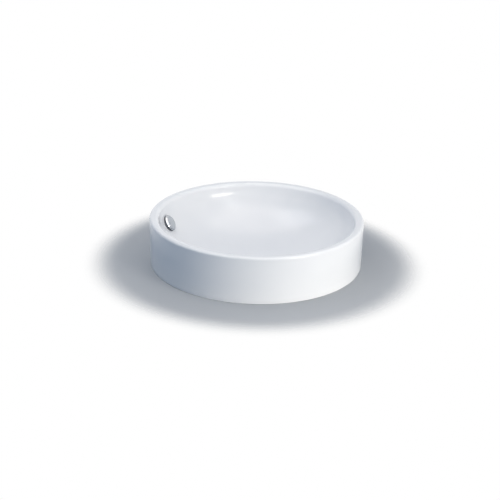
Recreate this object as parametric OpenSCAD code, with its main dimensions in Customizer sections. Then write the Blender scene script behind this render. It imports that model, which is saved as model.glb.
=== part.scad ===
// Round countertop basin with a covered overflow and a push-to-open waste.
// Millimetres. The origin is the centre of the foot on the counter's top, +Z is up and +Y is the rear.

/* [Basin] */
// Outside diameter of the basin at its rim
rim_d = 420; // [400:1:460]
// Outside diameter of the foot on the counter
foot_d = 418; // [400:1:458]
// Height of the rim above the counter
rim_h = 92; // [86:1:110]
// How far the lowest point of the bowl lies below the counter's top
bowl_sink = 16; // [12:1:24]
// Width of the rim from the outside to the bowl
rim_w = 17.5; // [16:0.5:22]
// Outer rounding of the rim
rim_round = 4.5; // [3:0.5:6]
// Inner rounding of the rim
lip_round = 7; // [5:0.5:9]
// Thickness of the ceramic round the bowl
bowl_wall = 10; // [8:0.5:12]
// Thickness of the outside wall at the foot
skirt_wall = 11; // [9:0.5:12]
// Bevel round the outside of the foot
foot_bevel = 1; // [0.5:0.1:2]
// Width of the hollow's narrow top, between the bowl and the outside wall
hollow_top_w = 4; // [3:0.5:6]
// Width of the groove under the foot
groove_w = 5; // [4:0.2:5]
// Depth of the groove under the foot
groove_deep = 3; // [2:0.2:4]

/* [Overflow] */
// Height of the overflow's centre above the counter
overflow_z = 53.5; // [50:0.5:58]
// Diameter of the overflow hole in the ceramic
overflow_hole_d = 26; // [22:0.5:28]
// Width of the flat land beyond the rubber ring
land_margin = 0.35; // [0.2:0.05:2]
// Width of the overflow channel
channel_w = 30; // [29:1:36]
// Depth of the overflow channel
channel_deep = 12; // [10:0.5:14]
// Thickness of the ceramic round the overflow channel
channel_wall = 8; // [6:0.5:10]
// Thickness of the rubber ring under the sleeve
overflow_seal_t = 1; // [0.8:0.1:2]
// Diameter of the sleeve's flange
sleeve_flange_d = 31.5; // [30:0.5:33]
// Thickness of the sleeve's flange
sleeve_flange_t = 2; // [1:0.1:2.5]
// Length of the sleeve in the ceramic
sleeve_l = 7.5; // [5:0.5:8]
// Wall of the sleeve
sleeve_wall = 1.8; // [1.2:0.1:2.5]
// Diameter of the overflow cap
cap_d = 33; // [31:0.2:36]
// Thickness of the overflow cap
cap_t = 2.9; // [2.7:0.1:4]
// Height of the water gap behind the overflow cap
cap_gap = 2.1; // [1.2:0.1:3]
// Width of the cap's bevelled edge
cap_bevel = 2.4; // [1:0.1:2.5]
// Number of legs that clip the cap into the sleeve
cap_legs = 4; // [3:1:6]

/* [Waste] */
// Diameter of the waste hole in the ceramic
waste_hole_d = 46; // [45.5:0.5:48]
// Diameter of the boss under the bowl
boss_d = 88; // [80:1:96]
// Thickness of the ceramic under the overflow channel, at the waste
boss_floor = 8; // [6:0.5:10]
// Depth of the recess that takes the waste flange
seat_deep = 2.5; // [2:0.1:3]
// Diameter of the waste flange
flange_d = 66; // [64:1:68]
// Thickness of the waste flange at its mouth
flange_t = 2.4; // [2:0.1:3]
// Thickness of the ring under the flange
flange_seal_t = 1.5; // [1:0.1:2]
// Outside diameter of the waste thread
thread_d = 41.91; // [41.91]
// Bore of the waste tube
tube_bore = 37.6; // [36:0.1:38]
// Length of the waste below its flange
tube_l = 93; // [90:1:100]
// Length of the free thread at the tail
tail_l = 30; // [22:1:32]
// Width of the overflow windows in the tube
window_w = 11; // [9:0.5:12]
// Width across the flats of the back nut
backnut_af = 54; // [52:1:58]
// Thickness of the back nut
backnut_t = 10; // [8:0.5:12]
// Diameter of the rubber washer under the boss
boss_washer_d = 64; // [60:1:70]
// Thickness of the rubber washer under the boss
boss_washer_t = 6; // [4:0.5:8]
// Thickness of the slip washer
slip_washer_t = 1.5; // [1:0.1:2]

/* [Plug] */
// Diameter of the plug
plug_d = 60; // [56:1:62]
// Thickness of the plug at its edge
plug_edge_t = 2; // [1.5:0.1:3]
// Rise of the plug's dome
plug_rise = 3.2; // [2:0.1:4]
// Gap under the plug's edge when it is shut
plug_gap = 1.2; // [0.8:0.1:2]
// How far the plug lifts
plug_lift = 8; // [6:0.5:9]
// Diameter of the spindle
spindle_d = 8; // [7:0.5:9]
// Width across the flats of the plug's nut
plug_nut_af = 13; // [13:0.5:16]
// Thickness of the plug's nut
plug_nut_t = 4; // [3:0.5:5]

/* [Cartridge] */
// Outside diameter of the barrel
barrel_d = 18; // [17:0.5:20]
// Bore of the barrel
barrel_bore = 13; // [12.5:0.1:13.5]
// Thickness of the barrel's floor
barrel_floor = 4; // [3:0.5:5]
// Diameter of the stud under the barrel
stud_d = 10; // [9:0.5:11]
// Height of the bridge in the waste tube
bridge_h = 8; // [6:0.5:10]
// Thickness of the bridge's spokes
spoke_t = 3; // [2:0.5:4]
// Number of the bridge's spokes
spokes = 3; // [3:1:5]
// Number of teeth on the latch ring
teeth = 8; // [6:1:10]
// Height of the teeth
tooth_h = 1.2; // [0.8:0.1:1.5]
// Height of the latch ring without its teeth
rotor_h = 5; // [4:0.5:7]
// Wire of the spring
wire_d = 1; // [0.8:0.1:1.2]
// Turns of the spring
spring_turns = 6; // [5:1:7]
// Length of the spring when the plug is shut
spring_l = 12; // [11:0.5:16]

/* [Fits] */
// Radial clearance of threads and running fits
fit = 0.05; // [0.02:0.01:0.08]
// Radial clearance of loose pieces
loose = 0.4; // [0.3:0.1:0.8]
// Rest gap between the plug's seal and its seat, and at the plug's upper stop
rest_gap = 0.3; // [0.2:0.05:0.4]

/* [Hidden] */
$fn = 96;

// A little more than a face, so that cuts pass through it
over = 1;
// Step in degrees along the bowl's curve, and along small roundings
curve_step = 3.75;
round_step = 15;

// The bowl is a half ellipse on its side: half its width, where it starts and how deep it is
bowl_a = rim_d / 2 - rim_w;
bowl_top = rim_h - lip_round;
bowl_b = bowl_top + bowl_sink;

// A point of the bowl's outline at angle t from the rim, moved outwards by w
function bowl_point(t, w = 0) =
    let (n = norm([bowl_b * cos(t), bowl_a * sin(t)]))
    [(bowl_a + w * bowl_b / n) * cos(t), bowl_top - (bowl_b + w * bowl_a / n) * sin(t)];

// Points of the bowl's outline from angle t0 to t1
function bowl_curve(t0, t1, w = 0) =
    let (n = ceil(abs(t1 - t0) / curve_step))
    [for (i = [0:n]) bowl_point(t0 + (t1 - t0) * i / n, w)];

// Points of a rounding about c with radius r from angle a0 to a1
function round_curve(c, r, a0, a1) =
    let (n = ceil(abs(a1 - a0) / round_step))
    [for (i = [0:n]) c + r * [cos(a0 + (a1 - a0) * i / n), sin(a0 + (a1 - a0) * i / n)]];

// The hollow between the bowl and the outside wall, whose inner face runs from the foot to the hollow's top
skirt_in = foot_d / 2 - skirt_wall;
skirt_top_in = rim_d / 2 - skirt_wall;
hollow_t = acos((skirt_top_in - hollow_top_w) / (bowl_a + bowl_wall));
hollow_top = bowl_point(hollow_t, bowl_wall)[1];
foot_mid = foot_d / 2 - skirt_wall / 2;

// The waste hole, its recess and its boss
recess_r = flange_d / 2 + loose;
recess_t = acos(recess_r / bowl_a);
seat_z = -bowl_sink - seat_deep;
boss_z = -bowl_sink - bowl_wall - channel_deep - boss_floor;

// The overflow's place on the bowl's curve and the tilt of its axis above the level
overflow_t = asin((bowl_top - overflow_z) / bowl_b);
overflow_r = bowl_point(overflow_t)[0];
overflow_tilt = atan2(bowl_a * sin(overflow_t), bowl_b * cos(overflow_t));
sleeve_r = overflow_hole_d / 2 - loose / 2;
sleeve_top = overflow_seal_t + sleeve_flange_t;
overflow_seal_r = sleeve_flange_d / 2 + loose;
channel_top = overflow_z + overflow_hole_d / 4;

// Heights along the waste
flange_z = seat_z + flange_seal_t;
mouth_z = flange_z + flange_t;
tail_z = flange_z - tube_l;
slip_z = boss_z - boss_washer_t - slip_washer_t;
nut_z = slip_z - backnut_t;
channel_mid_z = -bowl_sink - bowl_wall - channel_deep / 2;

// The waste mouth: a cone that the plug's seal closes
mouth_r = 26;
mouth_deep = 5;
bore_r = tube_bore / 2;
thread_r = thread_d / 2;
neck_r = thread_r - 0.55;
hub_r = waste_hole_d / 2 - loose;
hub_l = 5;
relief_l = 2;

// Heights along the plug and the cartridge
plug_z = mouth_z + plug_gap;
plug_boss_l = 9;
plug_boss_r = 7;
plug_nut_z = plug_z - plug_boss_l - plug_nut_t;
spindle_r = spindle_d / 2;
spindle_in_plug = 6;
spindle_seal_r = 0.78;
gland_top = plug_nut_z - over;
gland_head_t = 5;
gland_spigot_l = 5;
barrel_top = gland_top - gland_head_t;
gland_end = barrel_top - gland_spigot_l;
collar_top = gland_end - plug_lift - rest_gap;
collar_h = 5;
collar_end = collar_top - collar_h;
rotor_top = collar_end - tooth_h - rest_gap;
rotor_end = rotor_top - tooth_h - rotor_h;
spring_end = rotor_end - spring_l;
barrel_end = spring_end - barrel_floor;
bridge_end = barrel_end - bridge_h;
locknut_t = 4.5;
locknut_af = 16;
stud_l = bridge_h + locknut_t + 1.5;
barrel_r = barrel_bore / 2;
stud_r = stud_d / 2;
rotor_axle_r = 2.5;
rotor_axle_l = rotor_end - 2;
ring_r = barrel_r - 0.25;
spring_r = rotor_axle_r + 2;

// A flat ring between two radii, from height z upwards
module ring(r_out, r_in, z, h) {
    translate([0, 0, z])
        difference() {
            cylinder(h = h, r = r_out);
            translate([0, 0, -over])
                cylinder(h = h + 2 * over, r = r_in);
        }
}

// A hexagonal nut with bevelled corners and a plain bore
module hex_nut(af, h, bore, z) {
    corner_r = af / 2 / cos(30);
    translate([0, 0, z])
        difference() {
            intersection() {
                cylinder(h = h, r = corner_r, $fn = 6);
                nut_cone(af, h);
                translate([0, 0, h])
                    mirror([0, 0, 1])
                        nut_cone(af, h);
            }
            translate([0, 0, -over])
                cylinder(h = h + 2 * over, r = bore);
        }
}

// The cone that bevels one end of a nut
module nut_cone(af, h) {
    bevel_run = af * 0.12;
    rotate_extrude()
        polygon([[0, 0], [af / 2 * 0.97, 0], [af / 2 * 0.97 + 2 * bevel_run, bevel_run],
                 [af / 2 * 0.97 + 2 * bevel_run, h], [0, h]]);
}

// Moves to the overflow's centre on the bowl wall, with +Z pointing out of the wall into the bowl
module at_overflow() {
    translate([0, overflow_r, overflow_z])
        rotate([90 - overflow_tilt, 0, 0])
            children();
}

// Outline of the rim and the outside wall
module skirt_outline() {
    polygon(concat(
        [[skirt_in, 0], [foot_d / 2 - foot_bevel, 0], [foot_d / 2, foot_bevel]],
        round_curve([rim_d / 2 - rim_round, rim_h - rim_round], rim_round, 0, 90),
        round_curve([bowl_a + lip_round, rim_h - lip_round], lip_round, 90, 180),
        [bowl_point(0, bowl_wall / 2), bowl_point(hollow_t, bowl_wall / 2),
         [skirt_top_in - hollow_top_w - over, hollow_top], [skirt_top_in, hollow_top]]));
}

// Outline of the bowl's wall, from the rim to the waste
module shell_outline() {
    polygon(concat(
        bowl_curve(0, recess_t),
        [[recess_r, seat_z], [0, seat_z]],
        [[0, boss_z], [boss_d / 2 - foot_bevel, boss_z], [boss_d / 2, boss_z + foot_bevel]],
        bowl_curve(acos(boss_d / 2 / (bowl_a + bowl_wall)), 0, bowl_wall)));
}

// Outline of the overflow channel between two distances from the bowl's face, seen from the side
module channel_outline(near, far, t_end) {
    polygon(concat(bowl_curve(0, t_end, near), bowl_curve(t_end, 0, far)));
}

// The space within the outside wall, reaching into the wall by deep, from the boss up to z_max
module inside_skirt(deep, z_max) {
    rotate_extrude($fn = 180)
        polygon([[0, boss_z], [skirt_in + deep, boss_z], [skirt_in + deep, 0],
                 [skirt_top_in + deep, hollow_top], [skirt_top_in + deep, z_max], [0, z_max]]);
}

// A stretch of the channel's outline, as wide as w, kept below z_max and reaching into the wall by deep
module channel_body(w, near, far, t_end, deep, z_max) {
    intersection() {
        rotate([90, 0, 90])
            linear_extrude(height = w, center = true)
                channel_outline(near, far, t_end);
        inside_skirt(deep, z_max);
    }
}

module basin_bowl() {
    color("white")
        difference() {
            union() {
                rotate_extrude($fn = 180) skirt_outline();
                rotate_extrude($fn = 180) shell_outline();
                channel_body(channel_w + 2 * channel_wall, bowl_wall / 2,
                             bowl_wall + channel_deep + channel_wall,
                             acos(boss_d / 4 / bowl_a), 2 * over, hollow_top + bowl_wall / 2);
            }
            channel_body(channel_w, bowl_wall, bowl_wall + channel_deep,
                         acos(waste_hole_d / 4 / bowl_a), over, channel_top);
            translate([0, 0, boss_z - over])
                cylinder(h = seat_z - boss_z + 2 * over, r = waste_hole_d / 2);
            at_overflow() {
                cylinder(h = lip_round, r = overflow_seal_r + land_margin);
                translate([0, 0, -bowl_wall - over])
                    cylinder(h = bowl_wall + 2 * over, r = overflow_hole_d / 2);
            }
            ring(foot_mid + groove_w / 2, foot_mid - groove_w / 2, -over, groove_deep + over);
        }
}

module foot_seal() {
    seal_w = groove_w - loose;
    color("gainsboro")
        ring(foot_mid + seal_w / 2, foot_mid - seal_w / 2, 0, groove_deep);
}

module overflow_seal() {
    color("dimgray")
        at_overflow()
            ring(overflow_seal_r, sleeve_r + fit, 0, overflow_seal_t);
}

module overflow_sleeve() {
    bore = sleeve_r - sleeve_wall;
    slot_w = 2;
    color("darkslategray")
        at_overflow()
            difference() {
                union() {
                    ring(sleeve_flange_d / 2, bore, overflow_seal_t, sleeve_flange_t);
                    ring(sleeve_r, bore, -sleeve_l, sleeve_l + overflow_seal_t + over / 2);
                }
                for (i = [0:1])
                    rotate([0, 0, 45 + 90 * i])
                        translate([-sleeve_r - over, -slot_w / 2, -sleeve_l - over])
                            cube([2 * sleeve_r + 2 * over, slot_w, sleeve_l]);
            }
}

module overflow_cap() {
    cap_r = cap_d / 2;
    edge_t = cap_t - cap_bevel;
    dish_r = cap_r - cap_bevel - 2;
    leg_r = sleeve_r - sleeve_wall - fit;
    leg_t = 2;
    leg_w = 5;
    back_z = sleeve_top + cap_gap;
    color("silver")
        at_overflow()
            union() {
                translate([0, 0, back_z])
                    rotate_extrude()
                        polygon([[0, 0], [cap_r, 0], [cap_r, edge_t], [cap_r - cap_bevel, cap_t],
                                 [dish_r + 0.6, cap_t], [dish_r, cap_t - 0.3], [0, cap_t - 0.3]]);
                intersection() {
                    ring(leg_r, leg_r - leg_t, -sleeve_l, sleeve_l + back_z + edge_t / 2);
                    for (i = [0:cap_legs - 1])
                        rotate([0, 0, 360 / cap_legs * i])
                            translate([0, -leg_w / 2, -sleeve_l])
                                cube([leg_r + over, leg_w, sleeve_l + back_z + cap_t]);
                }
            }
}

// Outline of the waste body, without its windows and bridge
module waste_outline() {
    edge_t = 1.4;
    polygon([
        [bore_r, tail_z], [thread_r - 0.8, tail_z], [thread_r, tail_z + 0.8],
        [thread_r, tail_z + tail_l], [neck_r, tail_z + tail_l],
        [neck_r, tail_z + tail_l + relief_l], [thread_r, tail_z + tail_l + relief_l],
        [thread_r, boss_z + over], [neck_r, boss_z + over],
        [neck_r, flange_z - hub_l - 1], [hub_r, flange_z - hub_l],
        [hub_r, flange_z], [flange_d / 2 - 0.5, flange_z], [flange_d / 2, flange_z + 0.5],
        [flange_d / 2 - 0.4, flange_z + edge_t], [mouth_r + 2, mouth_z], [mouth_r, mouth_z],
        [bore_r + 1, mouth_z - mouth_deep], [bore_r, mouth_z - mouth_deep - 1.5]]);
}

// A window with round ends through both sides of the tube
module waste_window() {
    rotate([90, 0, 0])
        linear_extrude(height = 2 * thread_r + 2 * over, center = true)
            union() {
                square([window_w - channel_deep * 0.3, channel_deep], center = true);
                for (side = [-1, 1])
                    translate([side * (window_w - channel_deep * 0.3) / 2, 0])
                        circle(d = channel_deep);
            }
}

module waste_body() {
    spoke_l = bore_r + 0.8;
    color("silver")
        difference() {
            union() {
                rotate_extrude() waste_outline();
                ring(barrel_d / 2 - fit, stud_r + fit, bridge_end, bridge_h);
                for (i = [0:spokes - 1])
                    rotate([0, 0, 360 / spokes * i])
                        translate([stud_r + 1, -spoke_t / 2, bridge_end])
                            cube([spoke_l - stud_r - 1, spoke_t, bridge_h]);
            }
            for (i = [0:1])
                translate([0, 0, channel_mid_z])
                    rotate([0, 0, 90 * i])
                        waste_window();
        }
}

module waste_flange_seal() {
    color("whitesmoke")
        ring(flange_d / 2 - 2, hub_r + fit, seat_z, flange_seal_t);
}

module boss_washer() {
    washer_r = boss_washer_d / 2;
    color("dimgray")
        rotate_extrude()
            polygon([
                [thread_r + fit, boss_z - boss_washer_t], [washer_r - 4, boss_z - boss_washer_t],
                [washer_r, boss_z - boss_washer_t + 2.5], [washer_r, boss_z], [thread_r + fit, boss_z]]);
}

module slip_washer() {
    color("ivory")
        ring(boss_washer_d / 2 - 4, thread_r + fit, slip_z, slip_washer_t);
}

module backnut() {
    color("goldenrod")
        hex_nut(backnut_af, backnut_t, thread_r + fit, nut_z);
}

module cartridge_housing() {
    color("goldenrod")
        rotate_extrude()
            polygon([
                [0, barrel_end - stud_l], [stud_r - 0.8, barrel_end - stud_l],
                [stud_r, barrel_end - stud_l + 0.8], [stud_r, barrel_end],
                [barrel_d / 2, barrel_end], [barrel_d / 2, barrel_top],
                [barrel_r, barrel_top], [barrel_r, spring_end], [0, spring_end]]);
}

module cartridge_locknut() {
    color("goldenrod")
        hex_nut(locknut_af, locknut_t, stud_r + fit, bridge_end - locknut_t);
}

module cartridge_gland() {
    groove_z = gland_top - 3.4;
    groove_r = spindle_r + 2 * (spindle_seal_r + fit);
    color("goldenrod")
        difference() {
            union() {
                hex_nut(barrel_d, gland_head_t, spindle_r + fit, barrel_top);
                ring(barrel_r - fit, spindle_r + fit, gland_end, gland_spigot_l + over);
            }
            ring(groove_r, spindle_r - over, groove_z, 2);
        }
}

module spindle_seal() {
    color("dimgray")
        translate([0, 0, gland_top - 2.4])
            rotate_extrude()
                translate([spindle_r + fit + spindle_seal_r, 0])
                    circle(r = spindle_seal_r, $fn = 24);
}

// A crown of pointed teeth between two radii, standing on z, made of wedges that all meet on the axis
module crown(r_out, r_in, z) {
    pitch = 360 / teeth;
    base = 2 * r_out * tan(pitch / 2);
    intersection() {
        ring(r_out, r_in, z - over, tooth_h + over);
        for (i = [0:teeth - 1])
            translate([0, 0, z])
                rotate([0, 0, pitch * i])
                    rotate([90, 0, 90])
                        linear_extrude(height = r_out)
                            polygon([[-base / 2, -over], [base / 2, -over], [base / 2, 0],
                                     [0, tooth_h], [-base / 2, 0]]);
    }
}

module cartridge_plunger() {
    top_z = plug_z - plug_boss_l + spindle_in_plug;
    color("silver")
        union() {
            rotate_extrude()
                polygon([
                    [0, rotor_axle_l], [rotor_axle_r - 0.4, rotor_axle_l],
                    [rotor_axle_r, rotor_axle_l + 0.4], [rotor_axle_r, collar_end],
                    [ring_r, collar_end], [ring_r, collar_top], [spindle_r, collar_top],
                    [spindle_r, top_z - 0.6], [spindle_r - 0.6, top_z], [0, top_z]]);
            translate([0, 0, collar_end])
                mirror([0, 0, 1])
                    crown(ring_r, rotor_axle_r + 1.5, 0);
        }
}

module cartridge_rotor() {
    color("ivory")
        union() {
            ring(ring_r, rotor_axle_r + fit, rotor_end, rotor_h);
            crown(ring_r, rotor_axle_r + 1.5, rotor_end + rotor_h);
        }
}

// The spring's wire as one tube: rings of points along an even helix
module cartridge_spring() {
    sides = 8;
    rings_per_turn = 16;
    wire_r = wire_d / 2;
    rings = spring_turns * rings_per_turn;
    run = spring_l - wire_d - 2 * rest_gap / 3;
    tilt = atan(run / spring_turns / (2 * PI * spring_r));
    points = [for (i = [0:rings], k = [0:sides - 1])
        let (turn = 360 * i / rings_per_turn, a = 360 * k / sides,
             r = spring_r + wire_r * cos(a), z = wire_r * sin(a))
        [r * cos(turn) + z * sin(tilt) * sin(turn), r * sin(turn) - z * sin(tilt) * cos(turn),
         run * i / rings + z * cos(tilt)]];
    faces = concat(
        [[for (k = [0:sides - 1]) k]],
        [[for (k = [0:sides - 1]) rings * sides + sides - 1 - k]],
        [for (i = [0:rings - 1], k = [0:sides - 1])
            let (n = (k + 1) % sides, a = i * sides, b = a + sides)
            each [[a + k, b + k, a + n], [a + n, b + k, b + n]]]);
    color("silver")
        translate([0, 0, spring_end + wire_r + rest_gap / 3])
            polyhedron(points, faces);
}

module plug_cap() {
    plug_r = plug_d / 2;
    dome_r = (plug_r * plug_r + plug_rise * plug_rise) / (2 * plug_rise);
    dome_a = asin(plug_r / dome_r);
    dome_z = plug_z + plug_edge_t + plug_rise - dome_r;
    color("silver")
        difference() {
            union() {
                rotate_extrude()
                    polygon(concat(
                        [[0, plug_z], [plug_r - 0.5, plug_z], [plug_r, plug_z + 0.5]],
                        [for (i = [0:12])
                            [dome_r * sin(dome_a * (1 - i / 12)),
                             dome_z + dome_r * cos(dome_a * (1 - i / 12))]]));
                translate([0, 0, plug_z - plug_boss_l])
                    cylinder(h = plug_boss_l + plug_edge_t / 2, r = plug_boss_r);
            }
            translate([0, 0, plug_z - plug_boss_l - over])
                cylinder(h = spindle_in_plug + 2 * over, r = spindle_r + fit);
        }
}

module plug_seal() {
    slope = (mouth_r - bore_r - 1) / mouth_deep;
    seal_deep = mouth_deep - 1.5;
    lip_r = mouth_r - rest_gap * (1 + slope);
    color("dimgray")
        rotate_extrude()
            polygon([
                [plug_boss_r + fit, plug_z], [plug_boss_r + fit, plug_z - 2.5],
                [lip_r - slope * seal_deep - 5, plug_z - 2.5],
                [lip_r - slope * seal_deep - 3, mouth_z - seal_deep],
                [lip_r - slope * seal_deep, mouth_z - seal_deep],
                [lip_r, mouth_z], [lip_r, plug_z]]);
}

module plug_nut() {
    color("silver")
        hex_nut(plug_nut_af, plug_nut_t, spindle_r + fit, plug_nut_z);
}

basin_bowl();
foot_seal();
overflow_sleeve();
overflow_seal();
overflow_cap();
waste_body();
waste_flange_seal();
boss_washer();
slip_washer();
backnut();
cartridge_housing();
cartridge_locknut();
cartridge_gland();
spindle_seal();
cartridge_plunger();
cartridge_rotor();
cartridge_spring();
plug_cap();
plug_seal();
plug_nut();
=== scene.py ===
import math

import bmesh
import bpy
from mathutils import Matrix, Vector


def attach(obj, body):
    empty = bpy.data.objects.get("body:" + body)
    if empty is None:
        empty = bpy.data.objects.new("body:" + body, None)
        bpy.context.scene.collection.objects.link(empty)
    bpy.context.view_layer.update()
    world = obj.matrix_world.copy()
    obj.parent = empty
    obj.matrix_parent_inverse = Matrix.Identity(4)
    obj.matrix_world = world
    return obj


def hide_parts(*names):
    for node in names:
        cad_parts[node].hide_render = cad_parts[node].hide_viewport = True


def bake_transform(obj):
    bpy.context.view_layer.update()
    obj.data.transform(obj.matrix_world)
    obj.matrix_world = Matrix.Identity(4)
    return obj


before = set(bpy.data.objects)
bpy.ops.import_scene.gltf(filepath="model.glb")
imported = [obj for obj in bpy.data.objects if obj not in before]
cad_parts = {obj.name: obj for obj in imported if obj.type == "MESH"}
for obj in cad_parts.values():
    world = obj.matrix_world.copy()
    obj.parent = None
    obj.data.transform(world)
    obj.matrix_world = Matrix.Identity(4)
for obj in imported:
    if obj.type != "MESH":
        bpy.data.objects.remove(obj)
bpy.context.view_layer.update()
scene = bpy.context.scene
mm = 0.001

# The photograph's camera, worked out from the rim and the foot as they lie on a 500 px picture
camera = {
    "focalPixels": 1200,
    "picturePixels": 500,
    "sensor": 36,              # mm
    "clip": (0.05, 30),        # m
    "elevation": 22.73,        # degrees above level
    "roll": 1.42,              # degrees
    "distance": 2391 * mm,     # from the lens to the level of the foot's centre
    "footAt": (255.6, 259.4),  # where the foot's centre falls in the picture
    "turn": -75.4,             # degrees from the basin's front round to the camera
}


def turned(vector):
    # from the camera's own plan, x to the right and y away, to the basin's axes
    return Matrix.Rotation(math.radians(camera["turn"]), 3, "Z") @ Vector(vector)


def placeCamera(c):
    e, roll = math.radians(c["elevation"]), math.radians(c["roll"])
    ahead = Vector((0, math.cos(e), -math.sin(e)))
    side = Vector((1, 0, 0))
    up = side.cross(ahead)
    right = math.cos(roll) * side + math.sin(roll) * up
    top = -math.sin(roll) * side + math.cos(roll) * up
    middle = c["picturePixels"] / 2
    across = (c["footAt"][0] - middle) / c["focalPixels"] * c["distance"]
    down = (c["footAt"][1] - middle) / c["focalPixels"] * c["distance"]
    place = -(across * right - down * top + c["distance"] * ahead)
    axes = [turned(right), turned(top), turned(-ahead)]
    lens = bpy.data.cameras.new("photoCamera")
    lens.sensor_width = c["sensor"]
    lens.lens = c["sensor"] * c["focalPixels"] / c["picturePixels"]
    lens.clip_start, lens.clip_end = c["clip"]
    obj = bpy.data.objects.new("photoCamera", lens)
    obj.matrix_world = Matrix.Translation(turned(place)) @ Matrix(axes).transposed().to_4x4()
    scene.collection.objects.link(obj)
    scene.camera = obj


placeCamera(camera)
print("camera placed")


def addNode(tree, kind, inputs=None, **settings):
    # adds a node; each input takes either a plain value or the socket that feeds it
    node = tree.nodes.new(kind)
    for name, value in settings.items():
        setattr(node, name, value)
    for name, value in (inputs or {}).items():
        if isinstance(value, bpy.types.NodeSocket):
            tree.links.new(value, node.inputs[name])
        else:
            node.inputs[name].default_value = value
    return node


def colour(code):
    # sRGB hex to the linear values that the shaders take
    parts = [int(code[k:k + 2], 16) / 255 for k in (1, 3, 5)]
    return [p / 12.92 if p <= 0.04045 else ((p + 0.055) / 1.055) ** 2.4 for p in parts] + [1]


# Geometry trees, each with named inputs for its sizes
def newTree(name, sizes):
    tree = bpy.data.node_groups.new(name, "GeometryNodeTree")
    tree.interface.new_socket(name="Geometry", in_out="OUTPUT", socket_type="NodeSocketGeometry")
    for label, kind in sizes.items():
        tree.interface.new_socket(name=label, in_out="INPUT", socket_type="NodeSocket" + kind)
    return tree, addNode(tree, "NodeGroupInput").outputs


def endTree(tree, geometry, material):
    real = addNode(tree, "GeometryNodeRealizeInstances", {"Geometry": geometry})
    done = addNode(tree, "GeometryNodeSetMaterial",
                   {"Geometry": real.outputs[0], "Material": material})
    addNode(tree, "NodeGroupOutput", {"Geometry": done.outputs[0]})
    return tree


def turningTree():
    # a profile is swept round the axis, and points that meet on the axis or the seam are welded
    tree, given = newTree("turning", {"Profile": "Geometry", "Path Radius": "Float",
                                      "Segments": "Int", "Weld": "Float",
                                      "Material": "Material"})
    profile = addNode(tree, "GeometryNodeMeshToCurve", {"Mesh": given["Profile"]})
    path = addNode(tree, "GeometryNodeCurvePrimitiveCircle",
                   {"Resolution": given["Segments"], "Radius": given["Path Radius"]})
    upright = addNode(tree, "GeometryNodeSetCurveNormal", {"Curve": path.outputs[0]}, mode="Z_UP")
    sweep = addNode(tree, "GeometryNodeCurveToMesh",
                    {"Curve": upright.outputs[0], "Profile Curve": profile.outputs[0]})
    weld = addNode(tree, "GeometryNodeMergeByDistance",
                   {"Geometry": sweep.outputs[0], "Distance": given["Weld"]})
    return endTree(tree, weld.outputs[0], given["Material"])


def windingTree():
    # a profile is wound up a screw line with its x towards the axis, and shrinks to End Size over
    # Run-out at both ends
    tree, given = newTree("winding", {"Profile": "Geometry", "Radius": "Float", "Pitch": "Float",
                                      "Turns": "Float", "Steps": "Int", "Run-out": "Float",
                                      "End Size": "Float", "Bottom": "Float",
                                      "Material": "Material"})
    profile = addNode(tree, "GeometryNodeMeshToCurve", {"Mesh": given["Profile"]})
    height = addNode(tree, "ShaderNodeMath", {0: given["Pitch"], 1: given["Turns"]},
                     operation="MULTIPLY")
    spiral = addNode(tree, "GeometryNodeCurveSpiral",
                     {"Resolution": given["Steps"], "Rotations": given["Turns"],
                      "Start Radius": given["Radius"], "End Radius": given["Radius"],
                      "Height": height.outputs[0]})
    upright = addNode(tree, "GeometryNodeSetCurveNormal", {"Curve": spiral.outputs[0]},
                      mode="Z_UP")
    along = addNode(tree, "GeometryNodeSplineParameter").outputs["Factor"]
    late = addNode(tree, "ShaderNodeMath", {0: 1.0, 1: given["Run-out"]}, operation="SUBTRACT")
    growing = addNode(tree, "ShaderNodeMapRange", {"Value": along, "From Max": given["Run-out"],
                                                   "To Min": given["End Size"]})
    ending = addNode(tree, "ShaderNodeMapRange",
                     {"Value": along, "From Min": late.outputs[0], "To Min": 1.0,
                      "To Max": given["End Size"]})
    size = addNode(tree, "ShaderNodeMath", {0: growing.outputs[0], 1: ending.outputs[0]},
                   operation="MINIMUM")
    sweep = addNode(tree, "GeometryNodeCurveToMesh",
                    {"Curve": upright.outputs[0], "Profile Curve": profile.outputs[0],
                     "Scale": size.outputs[0], "Fill Caps": True})
    lift = addNode(tree, "ShaderNodeCombineXYZ", {"Z": given["Bottom"]})
    place = addNode(tree, "GeometryNodeTransform",
                    {"Geometry": sweep.outputs[0], "Translation": lift.outputs[0]})
    return endTree(tree, place.outputs[0], given["Material"])


def roundArrayTree():
    # a piece is repeated evenly round the axis
    tree, given = newTree("roundArray", {"Piece": "Geometry", "Count": "Int",
                                         "Start Angle": "Float", "Material": "Material"})
    spots = addNode(tree, "GeometryNodePoints", {"Count": given["Count"]})
    number = addNode(tree, "GeometryNodeInputIndex").outputs[0]
    share = addNode(tree, "ShaderNodeMath", {0: number, 1: given["Count"]}, operation="DIVIDE")
    angle = addNode(tree, "ShaderNodeMath",
                    {0: share.outputs[0], 1: 2 * math.pi, 2: given["Start Angle"]},
                    operation="MULTIPLY_ADD")
    turn = addNode(tree, "ShaderNodeCombineXYZ", {"Z": angle.outputs[0]})
    copies = addNode(tree, "GeometryNodeInstanceOnPoints",
                     {"Points": spots.outputs[0], "Instance": given["Piece"],
                      "Rotation": turn.outputs[0]})
    return endTree(tree, copies.outputs[0], given["Material"])


trees = {"turning": turningTree(), "winding": windingTree(), "roundArray": roundArrayTree()}


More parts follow.
